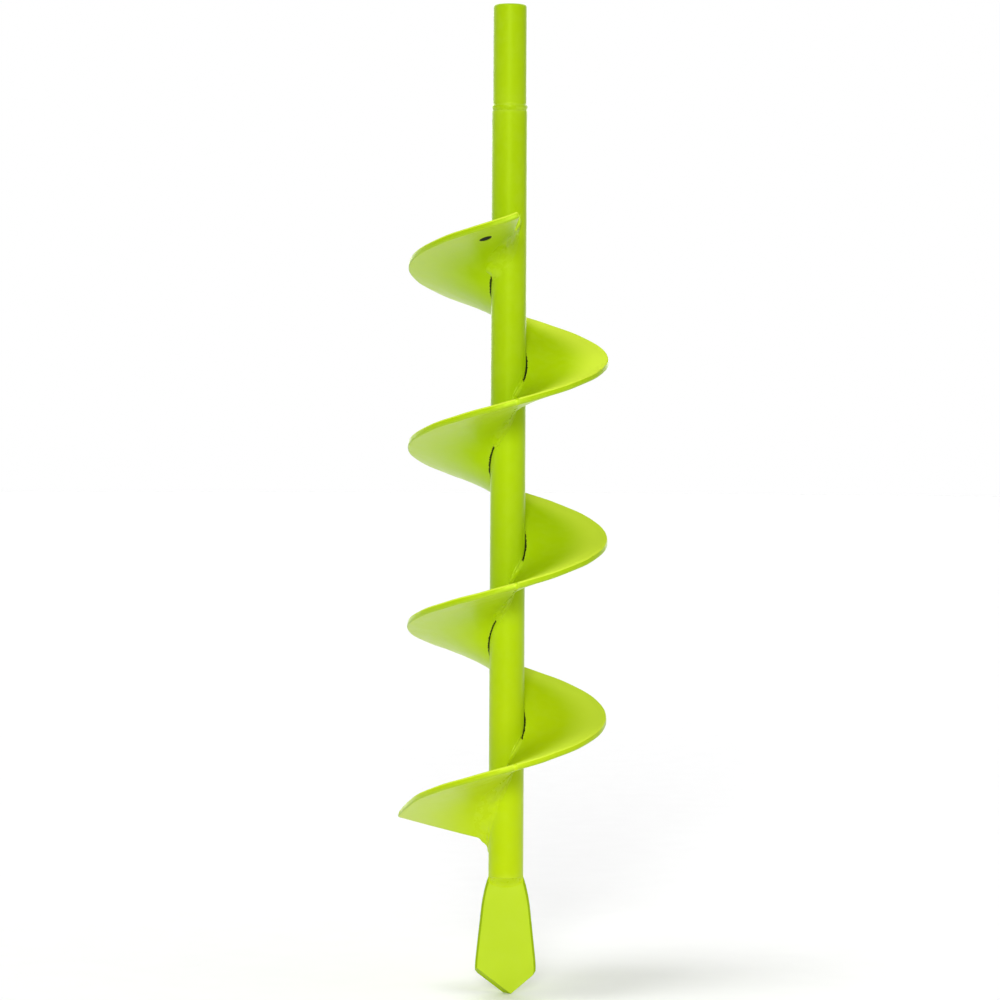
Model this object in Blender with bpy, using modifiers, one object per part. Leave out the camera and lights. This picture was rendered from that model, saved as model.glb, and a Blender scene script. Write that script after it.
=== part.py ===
"""Ice fishing auger: a rigid drilling bit, welded up from a drive spigot, a tube, a flight and a spade point.

Metres, +Z up. The origin is the centre of the drive end's flat face, and the auger hangs down from it.
Seen from above, angles run anticlockwise from +X. The flight is a right-hand helix, so it climbs with them.
"""

import math

import bmesh
import bpy
from mathutils import Vector

MM = 0.001
TAU = 2 * math.pi

AUGER = "ice_fishing_auger"
CUTTERS = "cutters"

# Clearance left between neighbouring pieces.
GAP = 0.3 * MM

# Drive spigot: a solid bar, turned down to a plug that fills the top of the tube.
SPIGOT_RADIUS = 12.6 * MM
SPIGOT_LENGTH = 78.2 * MM
SPIGOT_EDGE = 2.4 * MM
PLUG_LENGTH = 40 * MM
PLUG_EDGE = 1 * MM
# The groove at its foot for the ring weld.
GROOVE_HEIGHT = 2.6 * MM
GROOVE_FLOOR = 0.7 * MM

# Tube: three-quarter-inch pipe.
TUBE_RADIUS = 13.35 * MM
TUBE_WALL = 2.9 * MM
TUBE_BORE = TUBE_RADIUS - TUBE_WALL
TUBE_TOP = -(SPIGOT_LENGTH + GAP)
TUBE_BOTTOM = -664 * MM
TUBE_CHAMFER = 2.3 * MM
TUBE_LIP = 0.6 * MM
TUBE_EDGE = 0.5 * MM

# Flight: one-turn sections of plate, dished so that the root sits below the rim.
# It stands slightly askew on the tube, lower towards +X.
FLIGHT_RADIUS = 76.2 * MM
FLIGHT_ROOT = 14 * MM
PITCH = 136.7 * MM
RISE = PITCH / TAU
RIM_HEIGHT = -268.05 * MM
DISH = 9.3 * MM
SKEW = 0.016
ROOT_THICKNESS = 5.4 * MM
RIM_THICKNESS = 5 * MM
FLIGHT_TOP = 1.5 * math.pi + 0.09
TURNS = 3
SEAM_HALF_WIDTH = 1.5 * MM
SEAM_CROWN = 1.1 * MM

# The rim curls up a little at the flight's top end.
CURL = 1.9 * MM
CURL_START = FLIGHT_TOP - 0.38

# The last turn is drawn up a little before the wing.
LIFT = 1.6 * MM
LIFT_START = -3.6 * math.pi

# Cutting wing: the last part of the flight, bent down and flared out to one sharp corner.
WING_START = FLIGHT_TOP - TURNS * TAU
WING_END = -5 * math.pi - 0.2
WING_ROOT_DROP = 13.9 * MM
WING_CORNER_DROP = 7.3 * MM
FLARE_START = -5 * math.pi + 0.35
FLARE = 8.4 * MM

# Hanging hole, punched through the plate near the top end of the flight.
HOLE_RADIUS = 4.8 * MM
HOLE_DISTANCE = 51 * MM
HOLE_ANGLE = 4.345

# Spade point: a flat blade whose tang sits in the bottom of the tube.
BLADE_THICKNESS = 8 * MM
BLADE_TOP = TUBE_BOTTOM - GAP
BLADE_LENGTH = 89.8 * MM
BLADE_CHAMFER = 1.7 * MM
PANEL_TOP = 9 * MM
RELIEF_HEIGHT = 2.8 * MM
# The blade's outline, as half widths and depths below its top.
NECK_HALF_WIDTH = 13.4 * MM
NECK_BEND = (16.8 * MM, 9.5 * MM)
FLARED = (18.6 * MM, 23 * MM)
SHOULDER_BEND = (22.6 * MM, 60 * MM)
SHOULDER_CORNER = (23.6 * MM, 69 * MM)
SHOULDER = (23.1 * MM, 73.3 * MM)
TIP_HALF_WIDTH = 1.9 * MM
TIP_OFFSET = 1.2 * MM
TANG_HALF_WIDTH = 9 * MM
TANG_THICKNESS = 7 * MM
TANG_LENGTH = 34 * MM

# Ring weld between spigot and tube, as (radius, height above the spigot's foot).
SPIGOT_WELD_SECTION = [
    (12.95 * MM, 2.5 * MM),
    (13.4 * MM, 1.6 * MM),
    (13.55 * MM, 0),
    (13.5 * MM, -1.3 * MM),
    (13.3 * MM, -2.2 * MM),
    (11.85 * MM, -0.1 * MM),
]

# Fillet welds between tube and flight. Legs are lengths up or down the tube, at the bead's start and end.
FIRST_LEGS = (18 * MM, 8 * MM)
UNDER_LEGS = (9 * MM, 4 * MM)
LAST_LEGS = (9 * MM, 8 * MM)
UPPER_LEGS = (7 * MM, 4 * MM)
REAR_LEGS = (6 * MM, 6 * MM)
FILLET_PULL = (1 * MM, 1.5 * MM)
BLUNT_END = 0.45
TAPER_SHARE = 0.2
# Bead that closes the flight's top end, as (half height, reach) at its start and end.
END_BEAD_START = (8 * MM, 7 * MM)
END_BEAD_END = (2.5 * MM, 1.5 * MM)
END_BEAD_DROP = 4 * MM
# Bowl-shaped beads under the tube's end.
POINT_WELD_HEIGHT = 5 * MM
POINT_WELD_FOOT = 5.5 * MM

ROUND_STEPS = 64
STATION_ANGLE = math.radians(5)
RADIAL_STEPS = 6
BEAD_STEPS = 8
CURVE_STEPS = 5

LIME = (0.42, 0.61, 0.004, 1)
PLAIN_GLOSS = 0.3
PLATE_GLOSS = 0.33
BEAD_GLOSS = 0.4


def clear_scene():
    for obj in list(bpy.data.objects):
        bpy.data.objects.remove(obj, do_unlink=True)


def new_collection(name):
    bpy.context.scene.collection.children.link(bpy.data.collections.new(name))


def coating(name, roughness):
    """Lime powder coat on steel: a material of its own for each sub-part."""
    material = bpy.data.materials.new(name)
    material.use_nodes = True
    shader = material.node_tree.nodes["Principled BSDF"]
    shader.inputs["Base Color"].default_value = LIME
    shader.inputs["Roughness"].default_value = roughness
    shader.inputs["Metallic"].default_value = 0
    return material


def add_part(name, mesh, roughness, smooth=True):
    mesh.polygons.foreach_set("use_smooth", [smooth] * len(mesh.polygons))
    mesh.materials.append(coating(f"{name}_coat", roughness))
    obj = bpy.data.objects.new(name, mesh)
    bpy.data.collections[AUGER].objects.link(obj)
    return obj


def mesh_from(name, bm):
    """The closed mesh that the bmesh holds, facing out."""
    bmesh.ops.recalc_face_normals(bm, faces=bm.faces)
    mesh = bpy.data.meshes.new(name)
    bm.to_mesh(mesh)
    bm.free()
    return mesh


def turned(name, profile, closed, roughness):
    """A turned piece: (radius, height) points that run down the outer side, swept round Z."""
    mesh = bpy.data.meshes.new(name)
    points = [(radius, 0, height) for radius, height in profile]
    edges = [(i, i + 1) for i in range(len(points) - 1)]
    if closed:
        edges.append((len(points) - 1, 0))
    mesh.from_pydata(points, edges, [])
    obj = add_part(name, mesh, roughness)
    screw = obj.modifiers.new("turn", "SCREW")
    screw.axis = "Z"
    screw.steps = ROUND_STEPS
    screw.render_steps = ROUND_STEPS
    screw.use_merge_vertices = True
    screw.merge_threshold = 0.01 * MM
    screw.use_smooth_shade = True
    return obj


def arc(centre, radius, start, end, steps):
    """(x, y) points along an arc, both ends included. Angles are in degrees."""
    angles = [math.radians(start + (end - start) * i / steps) for i in range(steps + 1)]
    return [(centre[0] + radius * math.cos(a), centre[1] + radius * math.sin(a)) for a in angles]


def bend(start, pull, end, steps):
    """(x, y) points of a soft bend from start to end, drawn towards pull. The end is left out."""
    points = []
    for step in range(steps):
        t = step / steps
        weights = ((1 - t) ** 2, 2 * t * (1 - t), t**2)
        points.append(tuple(sum(w * p[i] for w, p in zip(weights, (start, pull, end))) for i in (0, 1)))
    return points


def between(ends, along):
    return ends[0] + (ends[1] - ends[0]) * along


def around(radius, angle, height):
    """The point at that radius, angle and height."""
    return Vector((radius * math.cos(angle), radius * math.sin(angle), height))


def fraction(value, start, end):
    """How far value has gone from start to end, held between 0 and 1."""
    return min(1, max(0, (value - start) / (end - start)))


def rim_radius(angle):
    return FLIGHT_RADIUS + FLARE * fraction(angle, FLARE_START, WING_END) ** 2


def middle_point(across, angle):
    """The middle of the plate. across runs from 0 at the root to 1 at the rim."""
    radius = FLIGHT_ROOT + across * (rim_radius(angle) - FLIGHT_ROOT)
    x = radius * math.cos(angle)
    y = radius * math.sin(angle)
    bent = fraction(angle, WING_START, WING_END) ** 2
    drop = bent * (WING_ROOT_DROP * (1 - across) + WING_CORNER_DROP * across)
    lift = LIFT * fraction(angle, LIFT_START, WING_START)
    curl = CURL * across * fraction(angle, CURL_START, FLIGHT_TOP) ** 2
    height = RIM_HEIGHT + RISE * angle - DISH * (1 - across) + lift + curl - drop - SKEW * x
    return Vector((x, y, height))


def plate_normal(across, angle):
    step = 0.001
    outward = middle_point(across + step, angle) - middle_point(across - step, angle)
    onward = middle_point(across, angle + step) - middle_point(across, angle - step)
    return outward.cross(onward).normalized()


def half_thickness(across):
    return 0.5 * (ROOT_THICKNESS + (RIM_THICKNESS - ROOT_THICKNESS) * across)


def across_at(radius, angle):
    return (radius - FLIGHT_ROOT) / (rim_radius(angle) - FLIGHT_ROOT)


def face_height(radius, angle, side):
    """Height of the plate's upper face (side 1) or lower face (side -1), held GAP clear of it."""
    across = max(0, across_at(radius, angle))
    lift = (half_thickness(across) + GAP) / plate_normal(across, angle).z
    return middle_point(across, angle).z + side * lift


def loft(name, rings, twisted=False):
    """Joins rings of equally many points in order. A twisted end is capped in strips, a flat one whole."""
    bm = bmesh.new()
    made = [[bm.verts.new(point) for point in ring] for ring in rings]
    count = len(made[0])
    for ring, following in zip(made, made[1:]):
        for i in range(count):
            j = (i + 1) % count
            bm.faces.new((ring[i], ring[j], following[j], following[i]))
    for ring in (made[0], made[-1]):
        if not twisted:
            bm.faces.new(ring)
            continue
        for i in range(count // 2 - 1):
            bm.faces.new((ring[i], ring[i + 1], ring[-2 - i], ring[-1 - i]))
    return mesh_from(name, bm)


def plate(name, low_angle, low_inset, high_angle, high_inset, crown=0, roughness=PLATE_GLOSS):
    """A stretch of flight between two edges, each square to the plate and moved along it by its inset."""
    stations = max(2, math.ceil((high_angle - low_angle) / STATION_ANGLE))
    rings = []
    for station in range(stations + 1):
        along = station / stations
        upper = []
        lower = []
        for column in range(RADIAL_STEPS + 1):
            across = column / RADIAL_STEPS
            radius = FLIGHT_ROOT + across * (FLIGHT_RADIUS - FLIGHT_ROOT)
            low = low_angle + low_inset / radius
            high = high_angle - high_inset / radius
            angle = low + (high - low) * along
            depth = half_thickness(across) + crown * math.sin(math.pi * along)
            offset = plate_normal(across, angle) * depth
            upper.append(middle_point(across, angle) + offset)
            lower.append(middle_point(across, angle) - offset)
        rings.append(upper + lower[::-1])
    return add_part(name, loft(name, rings, twisted=True), roughness)


def fillet_weld(name, start, end, side, legs):
    """A concave bead in the corner between the tube and one face of the plate, tapered at both ends."""
    stations = max(2 * CURVE_STEPS, math.ceil(abs(end - start) / STATION_ANGLE))
    inner = TUBE_RADIUS + GAP
    rings = []
    for station in range(stations + 1):
        along = station / stations
        angle = start + (end - start) * along
        fullness = min(1, along / TAPER_SHARE, (1 - along) / TAPER_SHARE)
        leg = between(legs, along) * (BLUNT_END + (1 - BLUNT_END) * fullness)
        reach = FLIGHT_ROOT + leg / 2 + 1 * MM
        corner = Vector((inner, face_height(FLIGHT_ROOT, angle, side)))
        toe = corner + Vector((0, side * leg))
        edge = Vector((reach, face_height(reach, angle, side)))
        pull = corner + Vector((FILLET_PULL[0], side * FILLET_PULL[1]))
        section = [corner] + bend(toe, pull, edge, CURVE_STEPS) + [edge]
        rings.append([around(radius, angle, height) for radius, height in section])
    return add_part(name, loft(name, rings), BEAD_GLOSS)


def round_weld(name, start, end, heights, first, last):
    """A half-round bead on the tube. first and last are (half height, reach) at its ends."""
    inner = TUBE_RADIUS + GAP
    rings = []
    for station in range(BEAD_STEPS + 1):
        along = station / BEAD_STEPS
        angle = start + (end - start) * along
        half_height = between((first[0], last[0]), along)
        reach = between((first[1], last[1]), along)
        middle = between(heights, along)
        section = arc((0, 0), 1, -90, 90, BEAD_STEPS)
        rings.append([around(inner + reach * x, angle, middle + half_height * y) for x, y in section])
    return add_part(name, loft(name, rings), BEAD_GLOSS)


def build_spigot():
    edge = arc((SPIGOT_RADIUS - SPIGOT_EDGE, -SPIGOT_EDGE), SPIGOT_EDGE, 90, 0, CURVE_STEPS)
    plug_radius = TUBE_BORE - GAP
    plug_end = -(SPIGOT_LENGTH + PLUG_LENGTH)
    body = [
        (SPIGOT_RADIUS, GROOVE_HEIGHT - SPIGOT_LENGTH),
        (plug_radius + GROOVE_FLOOR, -SPIGOT_LENGTH),
        (plug_radius, -SPIGOT_LENGTH),
        (plug_radius, plug_end + PLUG_EDGE),
        (plug_radius - PLUG_EDGE, plug_end),
        (0, plug_end),
    ]
    turned("drive_spigot", [(0, 0)] + edge + body, False, PLAIN_GLOSS)


def build_spigot_weld():
    """A ring bead in the groove between the spigot's foot and the tube's chamfered end."""
    section = [(radius, height - SPIGOT_LENGTH) for radius, height in SPIGOT_WELD_SECTION]
    turned("spigot_weld", section, True, BEAD_GLOSS)


def build_tube():
    profile = [
        (TUBE_BORE + TUBE_LIP, TUBE_TOP),
        (TUBE_RADIUS, TUBE_TOP - TUBE_CHAMFER),
        (TUBE_RADIUS, TUBE_BOTTOM + TUBE_EDGE),
        (TUBE_RADIUS - TUBE_EDGE, TUBE_BOTTOM),
        (TUBE_BORE, TUBE_BOTTOM),
        (TUBE_BORE, TUBE_TOP),
    ]
    turned("shaft_tube", profile, True, PLAIN_GLOSS)


def cut_hanging_hole(flight):
    """Cuts the flight with a round cutter set square to the plate."""
    across = across_at(HOLE_DISTANCE, HOLE_ANGLE)
    bm = bmesh.new()
    bmesh.ops.create_cone(
        bm,
        cap_ends=True,
        segments=ROUND_STEPS // 2,
        radius1=HOLE_RADIUS,
        radius2=HOLE_RADIUS,
        depth=4 * RIM_THICKNESS,
    )
    cutter = bpy.data.objects.new("hanging_hole_cutter", mesh_from("hanging_hole_cutter", bm))
    cutter.location = middle_point(across, HOLE_ANGLE)
    cutter.rotation_mode = "QUATERNION"
    cutter.rotation_quaternion = plate_normal(across, HOLE_ANGLE).to_track_quat("Z", "Y")
    hide(cutter)
    hole = flight.modifiers.new("hanging_hole", "BOOLEAN")
    hole.operation = "DIFFERENCE"
    hole.solver = "EXACT"
    hole.object = cutter


def build_flight():
    """The one-turn sections from the top down, then the wing, with a bead in the seam below each section."""
    for turn in range(TURNS):
        high = FLIGHT_TOP - turn * TAU
        low = high - TAU
        high_inset = SEAM_HALF_WIDTH if turn else 0
        section = plate(f"flight_turn_{turn + 1}", low, SEAM_HALF_WIDTH, high, high_inset)
        if turn == 0:
            cut_hanging_hole(section)
        inset = GAP - SEAM_HALF_WIDTH
        plate(f"seam_weld_{turn + 1}", low, inset, low, inset, SEAM_CROWN, BEAD_GLOSS)
    plate("cutting_wing", WING_END, 0, WING_START, SEAM_HALF_WIDTH)


def build_flight_welds():
    """A bead under the top end, then stitches under, over and behind each turn, seen from the front."""
    front = 1.5 * math.pi
    fillet_weld("under_weld_1", front + 0.25, front - 1.05, -1, FIRST_LEGS)
    root_height = middle_point(0, FLIGHT_TOP).z
    heights = (root_height, root_height - END_BEAD_DROP)
    round_weld("flight_end_weld", FLIGHT_TOP + 0.28, FLIGHT_TOP + 0.62, heights, END_BEAD_START, END_BEAD_END)
    for turn in range(1, TURNS + 1):
        here = front - turn * TAU
        back = here + math.pi
        if turn < TURNS:
            fillet_weld(f"under_weld_{turn + 1}", here - 0.1, here - 0.6, -1, UNDER_LEGS)
        else:
            fillet_weld(f"under_weld_{turn + 1}", here - 0.1, WING_END + 0.02, -1, LAST_LEGS)
        fillet_weld(f"upper_weld_{turn}", here + 0.28, here + 0.85, 1, UPPER_LEGS)
        fillet_weld(f"rear_weld_{turn}", back - 0.3, back + 0.3, 1, REAR_LEGS)


def blade_side():
    """One side of the blade from the neck to the shoulder, as (half width, depth below the blade's top)."""
    neck = bend((NECK_HALF_WIDTH, 0), NECK_BEND, FLARED, CURVE_STEPS)
    shoulder = bend(SHOULDER_BEND, SHOULDER_CORNER, SHOULDER, CURVE_STEPS)
    return neck + [FLARED] + shoulder + [SHOULDER]


def blade_corner(side, at_tip):
    """Where the cutting edge of one half of the V starts or ends. side is 1 at +X and -1 at -X."""
    if at_tip:
        return Vector((TIP_OFFSET + side * TIP_HALF_WIDTH, 0, BLADE_TOP - BLADE_LENGTH))
    return Vector((side * SHOULDER[0], 0, BLADE_TOP - SHOULDER[1]))


def is_blade_side(edge):
    """Whether this edge of the front or back face runs between the neck and a shoulder."""
    ends = [vert.co for vert in edge.verts]
    on_one_face = abs(ends[0].y - ends[1].y) < BLADE_THICKNESS / 2
    on_one_side = ends[0].x * ends[1].x > 0
    above_the_v = min(end.z for end in ends) > BLADE_TOP - SHOULDER[1] - GAP
    return on_one_face and on_one_side and above_the_v


def split(bm, point, normal, clear_outer=False):
    """Cuts every face along the plane, and returns the new edges. clear_outer removes what is in front."""
    cut = bmesh.ops.bisect_plane(
        bm,
        geom=bm.verts[:] + bm.edges[:] + bm.faces[:],
        plane_co=point,
        plane_no=normal,
        clear_outer=clear_outer,
    )
    return [edge for edge in cut["geom_cut"] if isinstance(edge, bmesh.types.BMEdge)]


def keep_behind(bm, point, normal):
    """Cuts away what lies in front of the plane, and closes the cut."""
    bmesh.ops.holes_fill(bm, edges=split(bm, point, normal, clear_outer=True))


def cut_relief(bm, side):
    """Slopes one half of the V from its cutting edge: the -X half on the front, the +X half on the back."""
    shoulder = blade_corner(side, at_tip=False)
    along = (blade_corner(side, at_tip=True) - shoulder).normalized()
    inward = Vector((-side * abs(along.z), 0, abs(along.x)))
    half = Vector((0, side * BLADE_THICKNESS / 2, 0))
    slope = 2 * half + inward * RELIEF_HEIGHT
    normal = along.cross(slope).normalized()
    if normal.dot(inward) > 0:
        normal.negate()
    keep_behind(bm, shoulder - half, normal)


def build_spade_point():
    """The blade's outline, extruded, bevelled and cut, with a tang joined on top."""
    right = [(x, -depth) for x, depth in blade_side()]
    left = [(-x, z) for x, z in reversed(right)]
    tip = [(blade_corner(side, True).x, -BLADE_LENGTH) for side in (1, -1)]
    bm = bmesh.new()
    half = BLADE_THICKNESS / 2
    face = bm.faces.new([bm.verts.new((x, -half, BLADE_TOP + z)) for x, z in right + tip + left])
    made = bmesh.ops.extrude_face_region(bm, geom=[face])
    moved = [item for item in made["geom"] if isinstance(item, bmesh.types.BMVert)]
    bmesh.ops.translate(bm, verts=moved, vec=(0, BLADE_THICKNESS, 0))
    sides = [edge for edge in bm.edges if is_blade_side(edge)]
    bmesh.ops.bevel(bm, geom=sides, offset=BLADE_CHAMFER, segments=2, profile=0.5, affect="EDGES")
    for side in (-1, 1):
        cut_relief(bm, side)
    split(bm, Vector((0, 0, BLADE_TOP - PANEL_TOP)), Vector((0, 0, 1)))
    blade = add_part("spade_point", mesh_from("spade_point", bm), PLATE_GLOSS, smooth=False)
    tang = hidden_box("tang", (2 * TANG_HALF_WIDTH, TANG_THICKNESS, 2 * TANG_LENGTH), (0, 0, BLADE_TOP))
    join = blade.modifiers.new("tang", "BOOLEAN")
    join.operation = "UNION"
    join.solver = "EXACT"
    join.object = tang


def hidden_box(name, size, location):
    bm = bmesh.new()
    bmesh.ops.create_cube(bm, size=1)
    bmesh.ops.scale(bm, verts=bm.verts, vec=size)
    box = bpy.data.objects.new(name, mesh_from(name, bm))
    box.location = location
    return hide(box)


def hide(helper):
    helper.hide_render = True
    helper.display_type = "WIRE"
    bpy.data.collections[CUTTERS].objects.link(helper)
    return helper


def point_weld(name, side):
    """A bowl-shaped bead under the tube's end, on the blade's front (side -1) or back (side 1)."""
    bm = bmesh.new()
    bmesh.ops.create_cone(
        bm,
        cap_ends=True,
        segments=ROUND_STEPS,
        radius1=POINT_WELD_FOOT,
        radius2=TUBE_RADIUS - GAP,
        depth=POINT_WELD_HEIGHT,
    )
    lift = BLADE_TOP - POINT_WELD_HEIGHT / 2
    bmesh.ops.translate(bm, verts=bm.verts, vec=(0, 0, lift))
    keep_behind(bm, Vector((0, side * (BLADE_THICKNESS / 2 + GAP), 0)), Vector((0, -side, 0)))
    add_part(name, mesh_from(name, bm), BEAD_GLOSS)


def main():
    clear_scene()
    new_collection(AUGER)
    new_collection(CUTTERS)
    build_spigot()
    build_spigot_weld()
    build_tube()
    build_flight()
    build_flight_welds()
    build_spade_point()
    point_weld("point_weld_front", -1)
    point_weld("point_weld_back", 1)


main()
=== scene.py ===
"""The looks of an ice fishing auger: a rigid bit, welded up from steel and powder coated lime green.

Metres, +Z up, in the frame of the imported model: its origin is the centre of the drive end's flat face, and
the auger hangs down from it to its point on the floor. The front, the side in the photograph, faces -Y.
Seen from above, angles run anticlockwise from +X. They are in radians unless a comment says degrees.
Every piece stands for one CAD node, in the same place, with rounded edges, blended welds and finer faces.
"""

import math

import bmesh
import bpy
import numpy as np
from mathutils import Matrix, Vector, noise


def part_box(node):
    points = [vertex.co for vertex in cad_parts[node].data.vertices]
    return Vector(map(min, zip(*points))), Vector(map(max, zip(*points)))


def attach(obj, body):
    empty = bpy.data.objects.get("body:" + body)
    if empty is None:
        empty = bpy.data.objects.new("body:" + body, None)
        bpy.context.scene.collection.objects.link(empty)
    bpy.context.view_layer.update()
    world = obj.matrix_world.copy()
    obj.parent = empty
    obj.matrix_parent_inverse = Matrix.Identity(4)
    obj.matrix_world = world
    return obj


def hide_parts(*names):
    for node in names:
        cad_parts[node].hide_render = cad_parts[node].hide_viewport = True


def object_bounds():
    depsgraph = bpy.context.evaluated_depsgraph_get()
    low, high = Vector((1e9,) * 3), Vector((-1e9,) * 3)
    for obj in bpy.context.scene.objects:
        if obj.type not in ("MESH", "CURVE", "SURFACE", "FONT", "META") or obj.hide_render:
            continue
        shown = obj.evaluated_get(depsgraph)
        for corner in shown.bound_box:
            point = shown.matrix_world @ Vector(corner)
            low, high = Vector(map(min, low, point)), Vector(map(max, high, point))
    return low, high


MM = 0.001
TAU = 2 * math.pi
FRONT = 1.5 * math.pi

# Flight, as in the CAD: one-turn sections of dished plate that stand slightly askew on the tube.
FLIGHT_RADIUS = 76.2 * MM
FLIGHT_ROOT = 14 * MM
PITCH = 136.7 * MM
RISE = PITCH / TAU
RIM_HEIGHT = -268.05 * MM
DISH = 9.3 * MM
SKEW = 0.016
ROOT_THICKNESS = 5.4 * MM
RIM_THICKNESS = 5 * MM
FLIGHT_TOP = FRONT + 0.09
TURNS = 3
SEAM_HALF_WIDTH = 1.5 * MM
CURL = 1.9 * MM
CURL_START = FLIGHT_TOP - 0.38
LIFT = 1.6 * MM
LIFT_START = -3.6 * math.pi
WING_START = FLIGHT_TOP - TURNS * TAU
WING_END = -5 * math.pi - 0.2
WING_ROOT_DROP = 13.9 * MM
WING_CORNER_DROP = 7.3 * MM
FLARE_START = -5 * math.pi + 0.35
FLARE = 8.4 * MM
HOLE_RADIUS = 4.8 * MM
HOLE_DISTANCE = 51 * MM
HOLE_ANGLE = 4.345

# Spade point. Pairs are (half width, depth below the blade's top), as in the CAD. The relief on each side
# of the V is drawn wider than the CAD's 2.8 mm. It takes RELIEF_LOSS off the tip, so the V starts longer.
BLADE_THICKNESS = 8 * MM
NECK_HALF_WIDTH = 13.4 * MM
NECK_BEND = (16.8 * MM, 9.5 * MM)
FLARED = (18.6 * MM, 23 * MM)
SHOULDER_BEND = (22.6 * MM, 60 * MM)
SHOULDER_CORNER = (23.6 * MM, 69 * MM)
SHOULDER = (23.1 * MM, 73.3 * MM)
TIP_HALF_WIDTH = 1.9 * MM
TIP_OFFSET = 1.2 * MM
RELIEF_HEIGHT = 3.7 * MM
RELIEF_LOSS = 0.75 * MM

# The tube's wall, and the gap that the CAD leaves between parts that a weld joins.
TUBE_WALL = 2.9 * MM
PART_GAP = 0.3 * MM

# Welds. Rows of legs are (angle from the front, leg on the tube in mm, leg on the plate in mm).
WING_END_TURN = WING_END - FRONT + TURNS * TAU
FIRST_LEGS = [
    (-1.24, 7.5, 5),
    (-1.0, 10.9, 8),
    (-0.55, 16.5, 11),
    (-0.1, 20.4, 12),
    (0.12, 21, 9),
    (0.28, 20.5, 6),
]
END_LEGS = [(0.13, 20.6, 8), (0.3, 20.4, 5.6), (0.45, 18, 4), (0.7, 9, 2)]
SECOND_LEGS = [(-0.9, 3.5, 4), (-0.5, 6.5, 9), (0, 7.5, 9), (0.75, 2, 3.5)]
THIRD_LEGS = [(-0.68, 4, 5), (-0.4, 6.5, 9), (0.1, 7, 8), (0.75, 2, 3.5)]
LAST_LEGS = [(WING_END_TURN + 0.11, 8, 9.5), (-1.3, 10, 12), (-0.6, 12, 16), (0.0, 9, 12), (0.6, 2.5, 4)]
UPPER_LEGS = [(0.05, 5, 2.5), (0.5, 6.8, 2.4), (1.0, 5, 1.2)]
REAR_LEGS = [(-0.3, 5.5, 5), (0.3, 5.5, 5)]
RING_ROLL = 2.7 * MM
RING_LUMPS = 0.22 * MM
POINT_WELD = 8.5 * MM
POINT_LUMPS = 0.25 * MM
POINT_OVERLAP = 1.5 * MM
SEAM_CROWN = 0.15 * MM
SEAM_LUMP = 1.1 * MM

# Shape of a fillet's face. TIGHTNESS draws it into the corner. Its lumps come in two sizes, and its raised
# edge on the tube has a place and a width, as shares of the way across the face.
TIGHTNESS = 0.62
LUMP_SIZE = 5.5 * MM
FINE_LUMP_SIZE = 2.4 * MM
POINT_LUMP_SIZE = 4 * MM
RIDGE_PLACE = 0.17
RIDGE_WIDTH = 0.09

# Fineness of the meshes.
STATION_ANGLE = math.radians(1.5)
FACE_STEPS = 22
ROUND_STEPS = 128
EDGE_STEPS = 4
WELD_STEPS = 18
POINT_WELD_STEPS = 64

# Degrees between faces over which an edge stays sharp, and over which the blade's edges are softened.
SHARP = 40
WELD_SHARP = 60
BLADE_SHARP = 30
BLADE_SOFTENED = 28

# Softened edges, small unevenness, and how far a weld sinks into what it joins.
RIM_EDGE = 1.3 * MM
END_EDGE = 0.8 * MM
HOLE_BEVEL = 0.4 * MM
SPIGOT_EDGE = 2.4 * MM
BLADE_CHAMFER = 1.7 * MM
BLADE_EDGE = 0.45 * MM
RIM_WEAR = 0.12 * MM
PLATE_SWAY = 0.18 * MM
SINK = 0.06 * MM
BURY = 1.2 * MM

# Colours of the coat, and the near-black colours of painted shade in the gap at the flight's root and in the
# hanging hole.
LIME = (0.41, 0.60, 0.003)
PALE_LIME = (0.52, 0.66, 0.075)
DEEP_LIME = (0.27, 0.44, 0.002)
# The next two are painted light: the coat is drawn paler low down and on the point, as the bright floor
# lights it.
LOW_LIME = (0.49, 0.65, 0.004)
POINT_LIME = (0.48, 0.645, 0.024)
# Painted shade for the blade's cut edges and reliefs, which face sideways or down.
CUT_SHADE_LIME = (0.31, 0.46, 0.004)
# A painted highlight for the outer half of the flight's upper faces.
HIGHLIGHT_LIME = (0.60, 0.76, 0.045)
SHINE_TINT = (0.7, 0.95, 0.1, 1)
# Painted shade for the narrow gap at the flight's root.
GAP_SHADE = (0.012, 0.016, 0.006)
# Painted shade for the wall of the hanging hole, which lies in shadow.
HOLE_SHADE_DARK = (0.004, 0.006, 0.002)
HOLE_SHADE_STREAK = (0.03, 0.045, 0.01)
FLOOR_WHITES = ((0.9, 0.9, 0.9), (0.93, 0.93, 0.93))
WHITE = (1, 1, 1, 1)

# Faces with a coat of their own, by their normals: the flight's upper faces, which carry a painted
# highlight, and the blade's cut edges, which carry painted shade.
UPWARD = 0.3
SIDEWAYS = 0.45
DOWNWARD = -0.4

# Where the coat's colour turns: heights, for painted floor light that is paler towards the bottom and
# painted shade that is deeper towards the top; distances from the axis, for the painted sheen and highlight
# on the flight; and the edges of the painted shade in the gap at the flight's root, as radii on the plate,
# and as heights from the root line and from the origin on the tube.
LOW_HEIGHTS = (-400 * MM, -600 * MM)
TOP_HEIGHTS = (-300 * MM, -120 * MM)
# Radii over which the painted sheen on the flight's underside grows.
PALE_RADII = (30 * MM, 74 * MM)
# Radii over which the painted highlight on the flight's upper faces grows.
HIGHLIGHT_RADII = (40 * MM, 68 * MM)
GAP_RADII = (FLIGHT_ROOT + 0.3 * MM, FLIGHT_ROOT + 0.9 * MM)
GAP_EDGE = (5.2 * MM, 5.9 * MM)
GAP_FOOT = (-606 * MM, -600 * MM)
GAP_TOP = (-178 * MM, -172 * MM)
RAGGEDNESS = 2.2 * MM

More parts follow.
